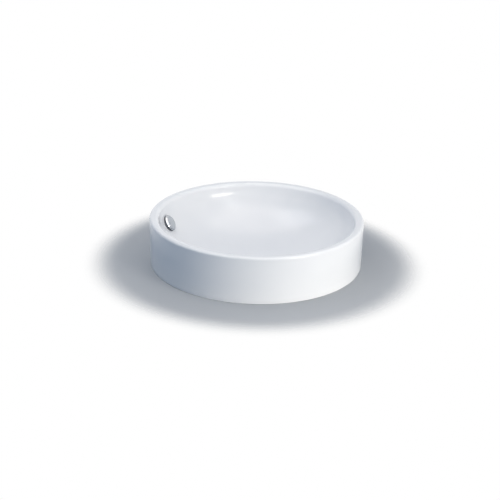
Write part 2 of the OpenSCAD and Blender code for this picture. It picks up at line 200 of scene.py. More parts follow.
def grown(mesh, tree, sizes):
    # runs a tree on a mesh and gives back the plain mesh; inputs are set by their identifiers
    obj = bpy.data.objects.new("growing", mesh)
    scene.collection.objects.link(obj)
    modifier = obj.modifiers.new("tree", "NODES")
    modifier.node_group = trees[tree]
    for socket in trees[tree].interface.items_tree:
        if socket.in_out == "INPUT" and socket.name in sizes:
            kind = type(modifier[socket.identifier])
            modifier[socket.identifier] = kind(sizes[socket.name])
    ready = obj.evaluated_get(bpy.context.evaluated_depsgraph_get())
    result = bpy.data.meshes.new_from_object(ready)
    bpy.data.objects.remove(obj)
    return result


def plainMesh(points, edges=(), faces=()):
    mesh = bpy.data.meshes.new("plain")
    mesh.from_pydata([tuple(p) for p in points], list(edges), list(faces))
    return mesh


def loop(points):
    # a closed outline of edges only
    return plainMesh(points, [(k, (k + 1) % len(points)) for k in range(len(points))])


def tidied(mesh, sharp=35):
    # welds doubles, turns faces outwards and shades them smooth up to a sharp edge, in degrees
    double = 0.0005 * mm
    work = bmesh.new()
    work.from_mesh(mesh)
    bmesh.ops.remove_doubles(work, verts=work.verts, dist=double)
    bmesh.ops.dissolve_degenerate(work, edges=work.edges, dist=double)
    bmesh.ops.recalc_face_normals(work, faces=work.faces)
    work.to_mesh(mesh)
    work.free()
    mesh.shade_smooth()
    mesh.set_sharp_from_angle(angle=math.radians(sharp))
    return mesh


def softened(corners, steps=5):
    # corners are (radius, height, rounding) in mm, and each rounded one becomes an arc
    points = []
    for k, (x, z, rounding) in enumerate(corners):
        here = Vector((x, z))
        if not rounding:
            points.append(here)
            continue
        before = (Vector(corners[k - 1][:2]) - here).normalized()
        after = (Vector(corners[(k + 1) % len(corners)][:2]) - here).normalized()
        half = before.angle(after) / 2
        centre = here + (before + after).normalized() * rounding / math.sin(half)
        first = here + before * rounding / math.tan(half) - centre
        last = here + after * rounding / math.tan(half) - centre
        start = math.atan2(first.y, first.x)
        sweep = (math.atan2(last.y, last.x) - start + math.pi) % (2 * math.pi) - math.pi
        for i in range(steps + 1):
            a = start + sweep * i / steps
            points.append(centre + rounding * Vector((math.cos(a), math.sin(a))))
    return points


fine = 128  # segments round a piece that shows


def turnedMesh(points, segments=96, closed=True):
    # points are (radius, height) in mm; an open profile starts and ends on the axis
    path, weld = 50 * mm, 0.001 * mm
    verts = [(p[0] * mm - path, -p[1] * mm, 0) for p in points]
    last = len(points) if closed else len(points) - 1
    profile = plainMesh(verts, [(k, (k + 1) % len(points)) for k in range(last)])
    return tidied(grown(profile, "turning", {"Path Radius": path, "Segments": segments,
                                             "Weld": weld}))


def prism(outline, low, high):
    # a flat outline of (x, y) in mm stands up between two heights
    count = len(outline)
    verts = [(x * mm, y * mm, z * mm) for z in (low, high) for x, y in outline]
    faces = [tuple(range(count)), tuple(range(2 * count - 1, count - 1, -1))]
    faces += [(k, count + k, count + (k + 1) % count, (k + 1) % count) for k in range(count)]
    return tidied(plainMesh(verts, faces=faces))


# Stands a prism on edge: its outline's x and y become y and z, and its height runs along x
onEdge = Matrix(((0, 0, 1, 0), (1, 0, 0, 0), (0, 1, 0, 0), (0, 0, 0, 1)))


def block(low, high):
    # a plain block between two corners in mm, used as a cutter
    return prism([(low[0], low[1]), (high[0], low[1]), (high[0], high[1]), (low[0], high[1])],
                 low[2], high[2])


def cylinder(radius, low, high):
    # a plain round cutter about the axis, in mm
    return turnedMesh([(0, low), (radius, low), (radius, high), (0, high)], closed=False)


def repeated(mesh, count, start=0.0):
    return tidied(grown(mesh, "roundArray", {"Count": count, "Start Angle": start}))


def combined(mesh, tool, way):
    # an exact union, difference or intersection of two closed meshes
    base = bpy.data.objects.new("base", mesh)
    other = bpy.data.objects.new("tool", tool)
    for obj in (base, other):
        scene.collection.objects.link(obj)
    modifier = base.modifiers.new("cut", "BOOLEAN")
    modifier.object, modifier.operation, modifier.solver = other, way, "EXACT"
    ready = base.evaluated_get(bpy.context.evaluated_depsgraph_get())
    result = bpy.data.meshes.new_from_object(ready)
    bpy.data.objects.remove(base)
    bpy.data.objects.remove(other)
    return result


print("helpers ready")


# Materials, named for what the real ones are
def newMaterial(name):
    material = bpy.data.materials.new(name)
    material.use_nodes = True
    tree = material.node_tree
    tree.nodes.clear()
    shader = addNode(tree, "ShaderNodeBsdfPrincipled")
    addNode(tree, "ShaderNodeOutputMaterial", {"Surface": shader.outputs[0]})
    return material, tree, shader, addNode(tree, "ShaderNodeTexCoord").outputs["Object"]


china = {
    "glaze": "#F8F9FA",        # the fired white glaze
    "glazeThin": "#F4F5F7",    # where it ran a little thinner
    "bisque": "#E3DACB",       # the bare fired clay under the foot and the boss
    "bisqueSandy": "#D8CEBD",
    "ior": 1.52,
    "gloss": 0.15,             # roughness of the glaze, and where it is thinner
    "glossCloudy": 0.19,
    "clouds": 60,              # mm, width of a patch of thinner glaze
    "orangePeel": 7,           # mm from wave to wave
    "orangePeelDepth": 0.004,  # mm
    "grit": 2.5,               # mm, drawn coarser than the clay's real grit so that it shows
    "bisqueDull": 0.85,        # roughness of the bare clay
    "footBare": 0.05,          # height in mm below which the foot is bare
    "footInside": 190,         # mm from the axis to where the bare foot may start
    "bossBare": -45.6,         # height in mm below which the boss is bare
}


def vitreousChina(c):
    # slip-cast vitreous china under a fired glaze: a deep even white with a clear gloss and a faint
    # orange-peel wave, and dull cream clay where the piece stood in the kiln
    material, tree, shader, place = newMaterial("vitreousChina")
    height = addNode(tree, "ShaderNodeSeparateXYZ", {"Vector": place}).outputs["Z"]
    flat = addNode(tree, "ShaderNodeVectorMath", {0: place, 1: (1, 1, 0)}, operation="MULTIPLY")
    reach = addNode(tree, "ShaderNodeVectorMath", {0: flat.outputs[0]}, operation="LENGTH")
    low = addNode(tree, "ShaderNodeMath", {0: height, 1: c["footBare"] * mm},
                  operation="LESS_THAN")
    outer = addNode(tree, "ShaderNodeMath", {0: reach.outputs["Value"], 1: c["footInside"] * mm},
                    operation="GREATER_THAN")
    foot = addNode(tree, "ShaderNodeMath", {0: low.outputs[0], 1: outer.outputs[0]},
                   operation="MULTIPLY")
    boss = addNode(tree, "ShaderNodeMath", {0: height, 1: c["bossBare"] * mm},
                   operation="LESS_THAN")
    bare = addNode(tree, "ShaderNodeMath", {0: foot.outputs[0], 1: boss.outputs[0]},
                   operation="MAXIMUM").outputs[0]
    clouds = addNode(tree, "ShaderNodeTexNoise", {"Vector": place, "Scale": 1000 / c["clouds"]})
    grit = addNode(tree, "ShaderNodeTexNoise",
                   {"Vector": place, "Scale": 1000 / c["grit"], "Detail": 6})
    glaze = addNode(tree, "ShaderNodeMix", {0: clouds.outputs[0], 6: colour(c["glaze"]),
                                            7: colour(c["glazeThin"])}, data_type="RGBA")
    clay = addNode(tree, "ShaderNodeMix", {0: grit.outputs[0], 6: colour(c["bisque"]),
                                           7: colour(c["bisqueSandy"])}, data_type="RGBA")
    base = addNode(tree, "ShaderNodeMix", {0: bare, 6: glaze.outputs[2], 7: clay.outputs[2]},
                   data_type="RGBA")
    gloss = addNode(tree, "ShaderNodeMapRange", {"Value": clouds.outputs[0], "To Min": c["gloss"],
                                                 "To Max": c["glossCloudy"]})
    dull = addNode(tree, "ShaderNodeMix", {0: bare, 2: gloss.outputs[0], 3: c["bisqueDull"]})
    peel = addNode(tree, "ShaderNodeTexNoise",
                   {"Vector": place, "Scale": 1000 / c["orangePeel"], "Detail": 1})
    wave = addNode(tree, "ShaderNodeBump", {"Height": peel.outputs[0],
                                            "Distance": c["orangePeelDepth"] * mm})
    tree.links.new(base.outputs[2], shader.inputs["Base Color"])
    tree.links.new(dull.outputs[0], shader.inputs["Roughness"])
    tree.links.new(wave.outputs[0], shader.inputs["Normal"])
    shader.inputs["IOR"].default_value = c["ior"]
    return material


# Shades are the material's own, gloss and dull the ends of its roughness, grain and cloud widths in
# mm, and depth is the bump's in mm
finishes = {
    # bright chromium over nickel, polished before plating: a cool mirror with slight clouding
    "chromePlate": {"shade": "#C6CACE", "other": "#BCC0C5", "metal": 1, "gloss": 0.05,
                    "dull": 0.10, "cloud": 14, "grain": 4, "depth": 0.0004},
    # turned brass left bare: warm yellow with tool marks that dull it a little
    "machinedBrass": {"shade": "#D9B45E", "other": "#C9A24C", "metal": 1, "gloss": 0.22,
                      "dull": 0.34, "cloud": 5, "grain": 0.8, "depth": 0.002},
    # turned stainless steel: a grey, slightly dull metal
    "turnedStainless": {"shade": "#C4C5C6", "other": "#B6B8BA", "metal": 1, "gloss": 0.16,
                        "dull": 0.26, "cloud": 4, "grain": 0.6, "depth": 0.001},
    # drawn spring wire with the lines of the die along it
    "springSteel": {"shade": "#B9BBBD", "other": "#A8AAAD", "metal": 1, "gloss": 0.25,
                    "dull": 0.36, "cloud": 2, "grain": 0.5, "depth": 0.001},
    # grey moulded polypropylene with a matt spark-eroded grain from the mould
    "mouldedPolypropylene": {"shade": "#747880", "other": "#6A6E76", "metal": 0, "gloss": 0.42,
                             "dull": 0.55, "cloud": 9, "grain": 0.4, "depth": 0.004,
                             "ior": 1.49},
    # black EPDM rubber: nearly no gloss and a fine tooth
    "epdmRubber": {"shade": "#2A2B2E", "other": "#1F2022", "metal": 0, "gloss": 0.62,
                   "dull": 0.78, "cloud": 6, "grain": 0.3, "depth": 0.006, "ior": 1.52},
    # white acetal turned or moulded: waxy and slightly glossy
    "whiteAcetal": {"shade": "#ECEAE3", "other": "#E5E3DB", "metal": 0, "gloss": 0.32,
                    "dull": 0.42, "cloud": 8, "grain": 0.5, "depth": 0.002, "ior": 1.48},
    # milky soft PVC of the flat ring under the flange
    "milkySoftPvc": {"shade": "#DFE2E0", "other": "#D5D9D7", "metal": 0, "gloss": 0.3,
                     "dull": 0.42, "cloud": 8, "grain": 0.8, "depth": 0.002, "ior": 1.53},
    # grey closed-cell sealing cord, matt with small cells
    "closedCellCord": {"shade": "#BFC1C0", "other": "#B1B3B2", "metal": 0, "gloss": 0.75,
                       "dull": 0.9, "cloud": 3, "grain": 0.7, "depth": 0.03, "ior": 1.45},
}


def finished(name, c):
    material, tree, shader, place = newMaterial(name)
    cloud = addNode(tree, "ShaderNodeTexNoise",
                    {"Vector": place, "Scale": 1000 / c["cloud"], "Detail": 3})
    grain = addNode(tree, "ShaderNodeTexNoise", {"Vector": place, "Scale": 1000 / c["grain"]})
    base = addNode(tree, "ShaderNodeMix", {0: cloud.outputs[0], 6: colour(c["shade"]),
                                           7: colour(c["other"])}, data_type="RGBA")
    # the mixed noise lies mostly between the two ends that are stretched over gloss and dull
    mottled = addNode(tree, "ShaderNodeMix", {0: 0.4, 2: cloud.outputs[0], 3: grain.outputs[0]})
    gloss = addNode(tree, "ShaderNodeMapRange", {"Value": mottled.outputs[0], "From Min": 0.3,
                                                 "From Max": 0.7, "To Min": c["gloss"],
                                                 "To Max": c["dull"]})
    tooth = addNode(tree, "ShaderNodeBump", {"Height": grain.outputs[0],
                                             "Distance": c["depth"] * mm})
    tree.links.new(base.outputs[2], shader.inputs["Base Color"])
    tree.links.new(gloss.outputs[0], shader.inputs["Roughness"])
    tree.links.new(tooth.outputs[0], shader.inputs["Normal"])
    shader.inputs["Metallic"].default_value = c["metal"]
    if "ior" in c:
        shader.inputs["IOR"].default_value = c["ior"]
    return material


finish = {name: finished(name, c) for name, c in finishes.items()}
finish["vitreousChina"] = vitreousChina(china)
print("materials ready:", len(finish))


def addPiece(name, mesh, material, node):
    # a finished mesh, with its finish as its material, becomes the piece that stands for a CAD
    # node, whose own mesh is hidden
    mesh.name = name
    mesh.materials.clear()
    mesh.materials.append(finish[material])
    mesh.polygons.foreach_set("material_index", [0] * len(mesh.polygons))
    obj = bpy.data.objects.new(name, mesh)
    scene.collection.objects.link(obj)
    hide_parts(node)
    print(name, "made:", len(mesh.polygons), "faces")
    return obj


# The basin's body, in mm
basin = {
    "rimRadius": 210,
    "footRadius": 209,
    "rimHeight": 92,
    "bowlSink": 16,       # the bowl's lowest point below the foot
    "rimWidth": 17.5,
    "rimRound": 4.5,      # the rim's outer rounding
    "lipRound": 7,        # the rounding from the rim into the bowl
    "wall": 10,           # the ceramic round the bowl
    "skirtWall": 11,      # the outside wall
    "footRound": 1,
    "hollowTopWidth": 4,  # the hollow's narrow top, between the bowl and the outside wall
    "grooveWidth": 5,     # the groove under the foot, for its seal
    "grooveDepth": 3,
    "bossRadius": 44,
    "bossBottom": -46,
    "wasteHoleRadius": 23,
    "recessRadius": 33.4,  # the seat of the waste's flange
    "recessDepth": 2.5,
    "channelWidth": 30,    # the overflow channel behind the bowl
    "channelDepth": 12,
    "channelWall": 8,
    "channelTop": 60,
    "ribInto": 2,          # how far the channel's rib and way run into the outside wall
    "wayInto": 1,
    "overflowHeight": 53.5,
    "overflowHoleRadius": 13,
    "landRadius": 16.5,    # the flat land that carries the overflow's seal
    "landCut": 7,
    "cutPast": 1,          # how far a cutter runs past what it cuts
    "rimSteps": 12,
    "lipSteps": 14,
    "segments": 288,
}
bowlWide = basin["rimRadius"] - basin["rimWidth"]
bowlTop = basin["rimHeight"] - basin["lipRound"]
bowlDeep = bowlTop + basin["bowlSink"]


def bowlPoint(t, out=0.0):
    # a point of the bowl's half ellipse at angle t below its top, moved outwards
    length = math.hypot(bowlDeep * math.cos(t), bowlWide * math.sin(t))
    return Vector(((bowlWide + out * bowlDeep / length) * math.cos(t),
                   bowlTop - (bowlDeep + out * bowlWide / length) * math.sin(t)))


def bowlCurve(start, end, out=0.0, step=1.6):
    # points along the half ellipse, step degrees or less apart
    count = max(2, math.ceil(abs(end - start) / math.radians(step)))
    return [bowlPoint(start + (end - start) * k / count, out) for k in range(count + 1)]


def arc(centre, radius, start, end, count):
    angles = [math.radians(start + (end - start) * k / count) for k in range(count + 1)]
    return [Vector(centre) + radius * Vector((math.cos(a), math.sin(a))) for a in angles]


overflowAngle = math.asin((bowlTop - basin["overflowHeight"]) / bowlDeep)
overflowTilt = math.atan2(bowlWide * math.sin(overflowAngle), bowlDeep * math.cos(overflowAngle))
atOverflow = (Matrix.Translation((0, bowlPoint(overflowAngle).x * mm,
                                  basin["overflowHeight"] * mm))
              @ Matrix.Rotation(math.pi / 2 - overflowTilt, 4, "X"))
skirtTopInside = basin["rimRadius"] - basin["skirtWall"]
skirtFootInside = basin["footRadius"] - basin["skirtWall"]
hollowAngle = math.acos((skirtTopInside - basin["hollowTopWidth"]) / (bowlWide + basin["wall"]))
hollowTop = bowlPoint(hollowAngle, basin["wall"]).y


def spread(points, most=6.0):
    # extra points on long straight runs, so that later cuts leave well-shaped faces
    out = []
    for k, here in enumerate(points):
        ahead = points[(k + 1) % len(points)]
        count = max(1, math.ceil((ahead - here).length / most))
        out += [here.lerp(ahead, i / count) for i in range(count)]
    return out


def channelMesh(b, width, near, far, end, deep, top):
    # a stretch of the overflow channel between near and far behind the bowl, that ends deep in the
    # outside wall and below top
    coarse = 2.5
    outline = bowlCurve(0, end, near, coarse) + bowlCurve(end, 0, far, coarse)
    band = prism([(p.x, p.y) for p in outline], -width / 2, width / 2)
    band.transform(onEdge)
    room = turnedMesh([(0, b["bossBottom"]), (skirtFootInside + deep, b["bossBottom"]),
                       (skirtFootInside + deep, 0), (skirtTopInside + deep, hollowTop),
                       (skirtTopInside + deep, top), (0, top)], b["segments"], closed=False)
    return tidied(combined(room, band, "INTERSECT"))


def basinMesh(b):
    seat = -b["bowlSink"] - b["recessDepth"]
    groove = [b["footRadius"] - b["skirtWall"] / 2 + side * b["grooveWidth"] / 2
              for side in (-1, 1)]
    recessAngle = math.acos(b["recessRadius"] / bowlWide)
    rim = arc((b["rimRadius"] - b["rimRound"], b["rimHeight"] - b["rimRound"]), b["rimRound"],
              0, 90, b["rimSteps"])
    lip = arc((bowlWide + b["lipRound"], b["rimHeight"] - b["lipRound"]), b["lipRound"],
              90, 180, b["lipSteps"])
    edgeGap = 0.004  # the curve stops just short of the recess, whose edge is a point of its own
    bowl = bowlCurve(0, recessAngle - edgeGap)[1:]
    waste = [(b["recessRadius"], bowlPoint(recessAngle).y, 0.4), (b["recessRadius"], seat, 0.5),
             (b["wasteHoleRadius"], seat, 0.8), (b["wasteHoleRadius"], b["bossBottom"], 0.6),
             (b["bossRadius"], b["bossBottom"], 1.5)]
    under = bowlCurve(math.acos(b["bossRadius"] / (bowlWide + b["wall"])), hollowAngle, b["wall"])
    edge = [(skirtTopInside, hollowTop, 1.5), (skirtFootInside, 0, 1.5), (groove[0], 0, 0.4),
            (groove[0], b["grooveDepth"], 0.5), (groove[1], b["grooveDepth"], 0.5),
            (groove[1], 0, 0.4), (b["footRadius"], 0, b["footRound"])]
    corners = ([(p.x, p.y, 0) for p in rim + lip + bowl] + waste + [(p.x, p.y, 0) for p in under]
               + edge)
    mesh = turnedMesh(spread(softened(corners)), b["segments"])
    deep = b["wall"] + b["channelDepth"]
    rib = channelMesh(b, b["channelWidth"] + 2 * b["channelWall"], b["wall"] / 2,
                      deep + b["channelWall"], math.acos(b["bossRadius"] / 2 / bowlWide),
                      b["ribInto"], hollowTop + b["wall"] / 2)
    mesh = combined(mesh, rib, "UNION")
    way = channelMesh(b, b["channelWidth"], b["wall"], deep,
                      math.acos(b["wasteHoleRadius"] / 2 / bowlWide), b["wayInto"],
                      b["channelTop"])
    mesh = combined(mesh, way, "DIFFERENCE")
    land = cylinder(b["landRadius"], 0, b["landCut"])
    hole = cylinder(b["overflowHoleRadius"], -b["wall"] - b["cutPast"], b["cutPast"])
    for tool in (land, hole):
        tool.transform(atOverflow)
        mesh = combined(mesh, tool, "DIFFERENCE")
    return tidied(mesh, 32)


basinBowl = addPiece("basinBowl", basinMesh(basin), "vitreousChina", "basin_bowl")
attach(basinBowl, "root")


# The overflow's cap and sleeve, in mm from the land on the bowl's wall
overflow = {
    "capRadius": 16.5,
    "capBack": 5.1,       # the water's gap lies under this
    "capThickness": 2.9,
    "bevel": 2.4,
    "dishRadius": 12.1,   # the face is sunk a little inside this
    "dishDepth": 0.3,
    "dishBevel": 0.6,
    "legs": 4,            # they clip the cap into the sleeve
    "legRadius": 10.95,
    "legWidth": 5,
    "legThickness": 2,
    "legCut": (30, 20),   # the cutter's reach from the axis, and up and down
    "sleeveRadius": 12.8,
    "sleeveWall": 1.8,
    "flangeRadius": 15.75,
    "flangeBottom": 1,
    "flangeTop": 3,
    "sleeveBottom": -7.5,
    "slots": 4,
    "slotWidth": 2,
    "slotDepth": 6.5,
}


def overflowCapMesh(o):
    r, back, face = o["capRadius"], o["capBack"], o["capBack"] + o["capThickness"]
    edge, dish, leg = face - o["bevel"], o["dishRadius"], o["legRadius"]
    disc = turnedMesh(softened([
        (0, back, 0), (r, back, 0.1), (r, edge, 0.3), (r - o["bevel"], face, 0.5),
        (dish + o["dishBevel"], face, 0.3), (dish, face - o["dishDepth"], 0.3),
        (0, face - o["dishDepth"], 0)], 6), fine, closed=False)
    ring = turnedMesh(softened([
        (leg, edge, 0), (leg, o["sleeveBottom"], 0.5),
        (leg - o["legThickness"], o["sleeveBottom"], 0.5), (leg - o["legThickness"], edge, 0)]))
    half, (out, past) = o["legWidth"] / 2, o["legCut"]
    single = combined(ring, block((0, -half, -past), (out, half, past)), "INTERSECT")
    mesh = combined(disc, repeated(single, o["legs"]), "UNION")
    mesh.transform(atOverflow)
    return tidied(mesh, 28)


def overflowSleeveMesh(o):
    bore = o["sleeveRadius"] - o["sleeveWall"]
    mesh = turnedMesh(softened([
        (bore, o["sleeveBottom"], 0.3), (o["sleeveRadius"], o["sleeveBottom"], 0.6),
        (o["sleeveRadius"], o["flangeBottom"], 0), (o["flangeRadius"], o["flangeBottom"], 0.2),
        (o["flangeRadius"], o["flangeTop"], 0.5), (bore, o["flangeTop"], 0.5)]), fine)
    half, low, past = o["slotWidth"] / 2, o["sleeveBottom"], 1
    slot = block((bore / 2, -half, low - past),
                 (o["sleeveRadius"] + past, half, low + o["slotDepth"]))
    slots = repeated(slot, o["slots"], math.pi / o["slots"])
    mesh = combined(mesh, slots, "DIFFERENCE")
    mesh.transform(atOverflow)
    return tidied(mesh)


overflowCap = addPiece("overflowCap", overflowCapMesh(overflow), "chromePlate", "overflow_cap")
overflowSleeve = addPiece("overflowSleeve", overflowSleeveMesh(overflow), "mouldedPolypropylene",
                          "overflow_sleeve")
for obj in (overflowCap, overflowSleeve):
    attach(obj, "root")


# The waste: flange, mouth and tube in one, threaded outside, with windows and a bridge inside
waste = {
    "bottom": -110,
    "reliefBottom": -80,
    "reliefTop": -78,
    "threadTop": -45,
    "crestRadius": 20.955,     # G 1 1/4
    "threadDepth": 1.479,
    "pitch": 2.309,            # 11 threads to the inch
    "threadSteps": 48,         # points in each turn
    "threadSunk": 0.25,        # how far the ridge's foot sits inside the tube's wall
    "threadFoot": 0.46,        # half the ridge's width at its foot and crest, in pitches
    "threadCrest": 0.09,
    "threadRunOut": 0.35,      # turns over which each end fades
    "threadEnd": 0.02,         # size of the ridge at its very end
    "neckRadius": 20.405,
    "bore": 18.8,
    "hubRadius": 22.6,
    "hubBottom": -22,
    "flangeBottom": -17,
    "flangeRadius": 33,
    "flangeEdge": -15.6,
    "mouthRadius": 26,
    "mouthTop": -14.6,
    "mouthDepth": 5,
    "windows": 4,
    "windowWidth": 19.4,
    "windowHeight": 12,
    "windowMiddle": -32,
    "windowCut": (12, 30),     # the cutter's reach from the axis
    "bridgeBottom": -82.4,
    "bridgeHeight": 8,
    "hubRing": (5.05, 8.95),   # the bridge's middle, bore and outside radius
    "spokes": 3,
    "spokeThickness": 3,
    "spokeReach": (6, 19.2),
}


def threadMesh(w, bottom, top):
    # one wound ridge between two heights, half a pitch clear of both
    root, sunk = w["crestRadius"] - w["threadDepth"], w["threadSunk"]
    wide, narrow = w["threadFoot"] * w["pitch"], w["threadCrest"] * w["pitch"]
    out = sunk + w["threadDepth"]
    corners = [(0, -wide), (sunk, -wide), (out, -narrow), (out, narrow), (sunk, wide), (0, wide)]
    profile = loop([(-x * mm, y * mm, 0) for x, y in corners])
    turns = (top - bottom) / w["pitch"] - 1
    return tidied(grown(profile, "winding", {
        "Radius": (root - sunk) * mm, "Pitch": w["pitch"] * mm, "Turns": turns,
        "Steps": w["threadSteps"], "Run-out": w["threadRunOut"] / turns,
        "End Size": w["threadEnd"], "Bottom": (bottom + w["pitch"] / 2) * mm}))


def wasteMesh(w):
    root, neck, hub = w["crestRadius"] - w["threadDepth"], w["neckRadius"], w["hubRadius"]
    rim, mouth, seat = w["flangeRadius"], w["mouthRadius"], w["mouthTop"] - w["mouthDepth"]
    mesh = turnedMesh(spread(softened([
        (w["bore"], w["bottom"], 0.15), (root, w["bottom"], 0.3), (root, w["reliefBottom"], 0),
        (neck, w["reliefBottom"], 0.2), (neck, w["reliefTop"], 0.2), (root, w["reliefTop"], 0),
        (root, w["threadTop"], 0), (neck, w["threadTop"] + 0.6, 0.3),
        (neck, w["hubBottom"] - 1, 0.4), (hub, w["hubBottom"], 0.4),
        (hub, w["flangeBottom"], 0.3), (rim, w["flangeBottom"], 0.4),
        (rim - 0.4, w["flangeEdge"], 0.4), (mouth + 2, w["mouthTop"], 2),
        (mouth, w["mouthTop"], 0.8), (w["bore"] + 1, seat, 0.8), (w["bore"], seat - 1.5, 0.5)])),
        fine)
    # the bridge that carries the cartridge
    low, high = w["bridgeBottom"], w["bridgeBottom"] + w["bridgeHeight"]
    inner, outer = w["hubRing"]
    ring = turnedMesh(softened([(inner, low, 0.4), (outer, low, 0.6), (outer, high, 0.6),
                                (inner, high, 0.4)]))
    near, far = w["spokeReach"]
    half = w["spokeThickness"] / 2
    spoke = prism([(near, -half), (far, -half), (far, half), (near, half)], low, high)
    mesh = combined(mesh, combined(ring, repeated(spoke, w["spokes"]), "UNION"), "UNION")
    # the overflow windows: slots with round ends
    radius, run = w["windowHeight"] / 2, (w["windowWidth"] - w["windowHeight"]) / 2
    outline = arc((run, 0), radius, -90, 90, 16) + arc((-run, 0), radius, 90, 270, 16)
    window = prism([(p.x, p.y) for p in outline], *w["windowCut"])
    window.transform(Matrix.Translation((0, 0, w["windowMiddle"] * mm)) @ onEdge)
    mesh = combined(mesh, repeated(window, w["windows"]), "DIFFERENCE")
    for bottom, top in ((w["bottom"], w["reliefBottom"]), (w["reliefTop"], w["threadTop"])):
        mesh = combined(mesh, threadMesh(w, bottom, top), "UNION")
    return tidied(mesh, 30)


wasteBody = addPiece("wasteBody", wasteMesh(waste), "chromePlate", "waste_body")
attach(wasteBody, "root")


# The plug's domed cap, with the blind hole that takes the spindle
plug = {
    "radius": 30,
    "underside": -13.4,
    "edgeTop": -11.4,
    "crown": -8.2,
    "bossRadius": 7,
    "bossBottom": -22.4,
    "holeRadius": 4.05,
    "holeTop": -15.4,
}


def plugCapMesh(p):
    rise = p["crown"] - p["edgeTop"]
    ball = (p["radius"] ** 2 + rise ** 2) / (2 * rise)
    reach = math.degrees(math.asin(p["radius"] / ball))
    dome = arc((0, p["crown"] - ball), ball, 90 - reach, 90, 24)[1:]
    return tidied(turnedMesh(softened([
        (0, p["holeTop"], 0), (p["holeRadius"], p["holeTop"], 0),
        (p["holeRadius"], p["bossBottom"], 0.3), (p["bossRadius"], p["bossBottom"], 0.6),
        (p["bossRadius"], p["underside"], 0.8), (p["radius"], p["underside"], 0.5),
        (p["radius"], p["edgeTop"], 0.7)] + [(v.x, v.y, 0) for v in dome], 6), 144,
        closed=False), 40)


plugCap = addPiece("plugCap", plugCapMesh(plug), "chromePlate", "plug_cap")
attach(plugCap, "plug")


# Hexagonal nuts, each with bevelled corners and a plain bore, in mm
nuts = {
    "backNut": {"node": "backnut", "body": "root", "finish": "machinedBrass",
                "slot": "bare_brass", "flats": 54, "bottom": -63.5, "height": 10,
                "bore": 21.005, "round": 1},
    "cartridgeLocknut": {"node": "cartridge_locknut", "body": "root", "finish": "machinedBrass",
                         "slot": "bare_brass", "flats": 16, "bottom": -86.9, "height": 4.5,
                         "bore": 5.05, "round": 0.4},
    "plugNut": {"node": "plug_nut", "body": "plug", "finish": "turnedStainless",
                "slot": "stainless_steel", "flats": 13, "bottom": -26.4, "height": 4,
                "bore": 4.05, "round": 0.3},
}


def nutMesh(n):
    low, high, inside = n["bottom"], n["bottom"] + n["height"], n["flats"] / 2
    corner = inside / math.cos(math.radians(30))
    # the turned bevel starts just inside the flats and rises half as far as it runs out
    face, out = 0.97 * inside, corner + 0.5
    run = (out - face) / 2
    barrel = turnedMesh(softened([(n["bore"], low, n["round"] / 2), (face, low, 0),
                                  (out, low + run, 0), (out, high - run, 0), (face, high, 0),
                                  (n["bore"], high, n["round"] / 2)]))
    hexagon = softened([(corner * math.cos(math.radians(60 * k)),
                         corner * math.sin(math.radians(60 * k)), n["round"])
                        for k in range(6)], 3)
    past = 1
    return tidied(combined(barrel, prism(hexagon, low - past, high + past), "INTERSECT"), 25)


for name, n in nuts.items():
    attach(addPiece(name, nutMesh(n), n["finish"], n["node"]), n["body"])


# Turned or moulded rings: each profile is (radius, height, rounding) in mm
rings = {
    "footSeal": {"node": "foot_seal", "finish": "closedCellCord", "slot": "sealing_cord",
                 "profile": [(201.2, 0, 0.9), (205.8, 0, 0.9), (205.8, 3, 0.5), (201.2, 3, 0.5)],
                 "segments": 240},
    "overflowSeal": {"node": "overflow_seal", "finish": "epdmRubber", "slot": "black_rubber",
                     "profile": [(12.85, 0, 0.2), (16.15, 0, 0.3), (16.15, 1, 0.3),
                                 (12.85, 1, 0.2)], "place": atOverflow},
    "wasteFlangeSeal": {"node": "waste_flange_seal", "finish": "milkySoftPvc",
                        "slot": "clear_plastic",
                        "profile": [(22.65, -18.5, 0.3), (31, -18.5, 0.5), (31, -17, 0.5),
                                    (22.65, -17, 0.3)]},
    "bossWasher": {"node": "boss_washer", "finish": "epdmRubber", "slot": "black_rubber",
                   "profile": [(21.005, -52, 0.3), (28, -52, 0.8), (32, -49.5, 0.8),
                               (32, -46, 0.6), (21.005, -46, 0.3)]},
    "slipWasher": {"node": "slip_washer", "finish": "whiteAcetal", "slot": "white_plastic",
                   "profile": [(21.005, -53.5, 0.2), (28, -53.5, 0.3), (28, -52, 0.3),
                               (21.005, -52, 0.2)]},
    "cartridgeHousing": {"node": "cartridge_housing", "finish": "machinedBrass",
                         "slot": "bare_brass", "open": True,
                         "profile": [(0, -88.4, 0), (5, -88.4, 0.6), (5, -74.4, 0.2),
                                     (9, -74.4, 0.5), (9, -32.4, 0.3), (6.5, -32.4, 0.3),
                                     (6.5, -70.4, 0.4), (0, -70.4, 0)]},
    "spindleSeal": {"node": "spindle_seal", "finish": "epdmRubber", "slot": "black_rubber",
                    "profile": [(p.x, p.y, 0) for p in arc((4.83, -29.8), 0.78, 0, 345, 23)]},
    "plugSeal": {"node": "plug_seal", "finish": "epdmRubber", "slot": "black_rubber",
                 "body": "plug",
                 "profile": [(7.05, -13.4, 0.2), (7.05, -15.9, 0.3), (15.99, -15.9, 0.5),
                             (17.99, -18.1, 0.5), (20.99, -18.1, 0.7), (25.33, -14.6, 0.5),
                             (25.33, -13.4, 0.3)]},
}
for name, r in rings.items():
    mesh = turnedMesh(softened(r["profile"]), r.get("segments", fine), closed="open" not in r)
    if "place" in r:
        mesh.transform(r["place"])
    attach(addPiece(name, mesh, r["finish"], r["node"]), r.get("body", "root"))


# The spring that lifts the plug: one round wire, which in the waste closes up as the plug goes
# down. Here it is wound once, at rest, from its bottom over its length
spring = {"radius": 4.5, "wire": 0.5, "turns": 6, "bottom": -69.8, "length": 10.8, "steps": 40,
          "sides": 16, "stretch": (-70.4, -58.4)}


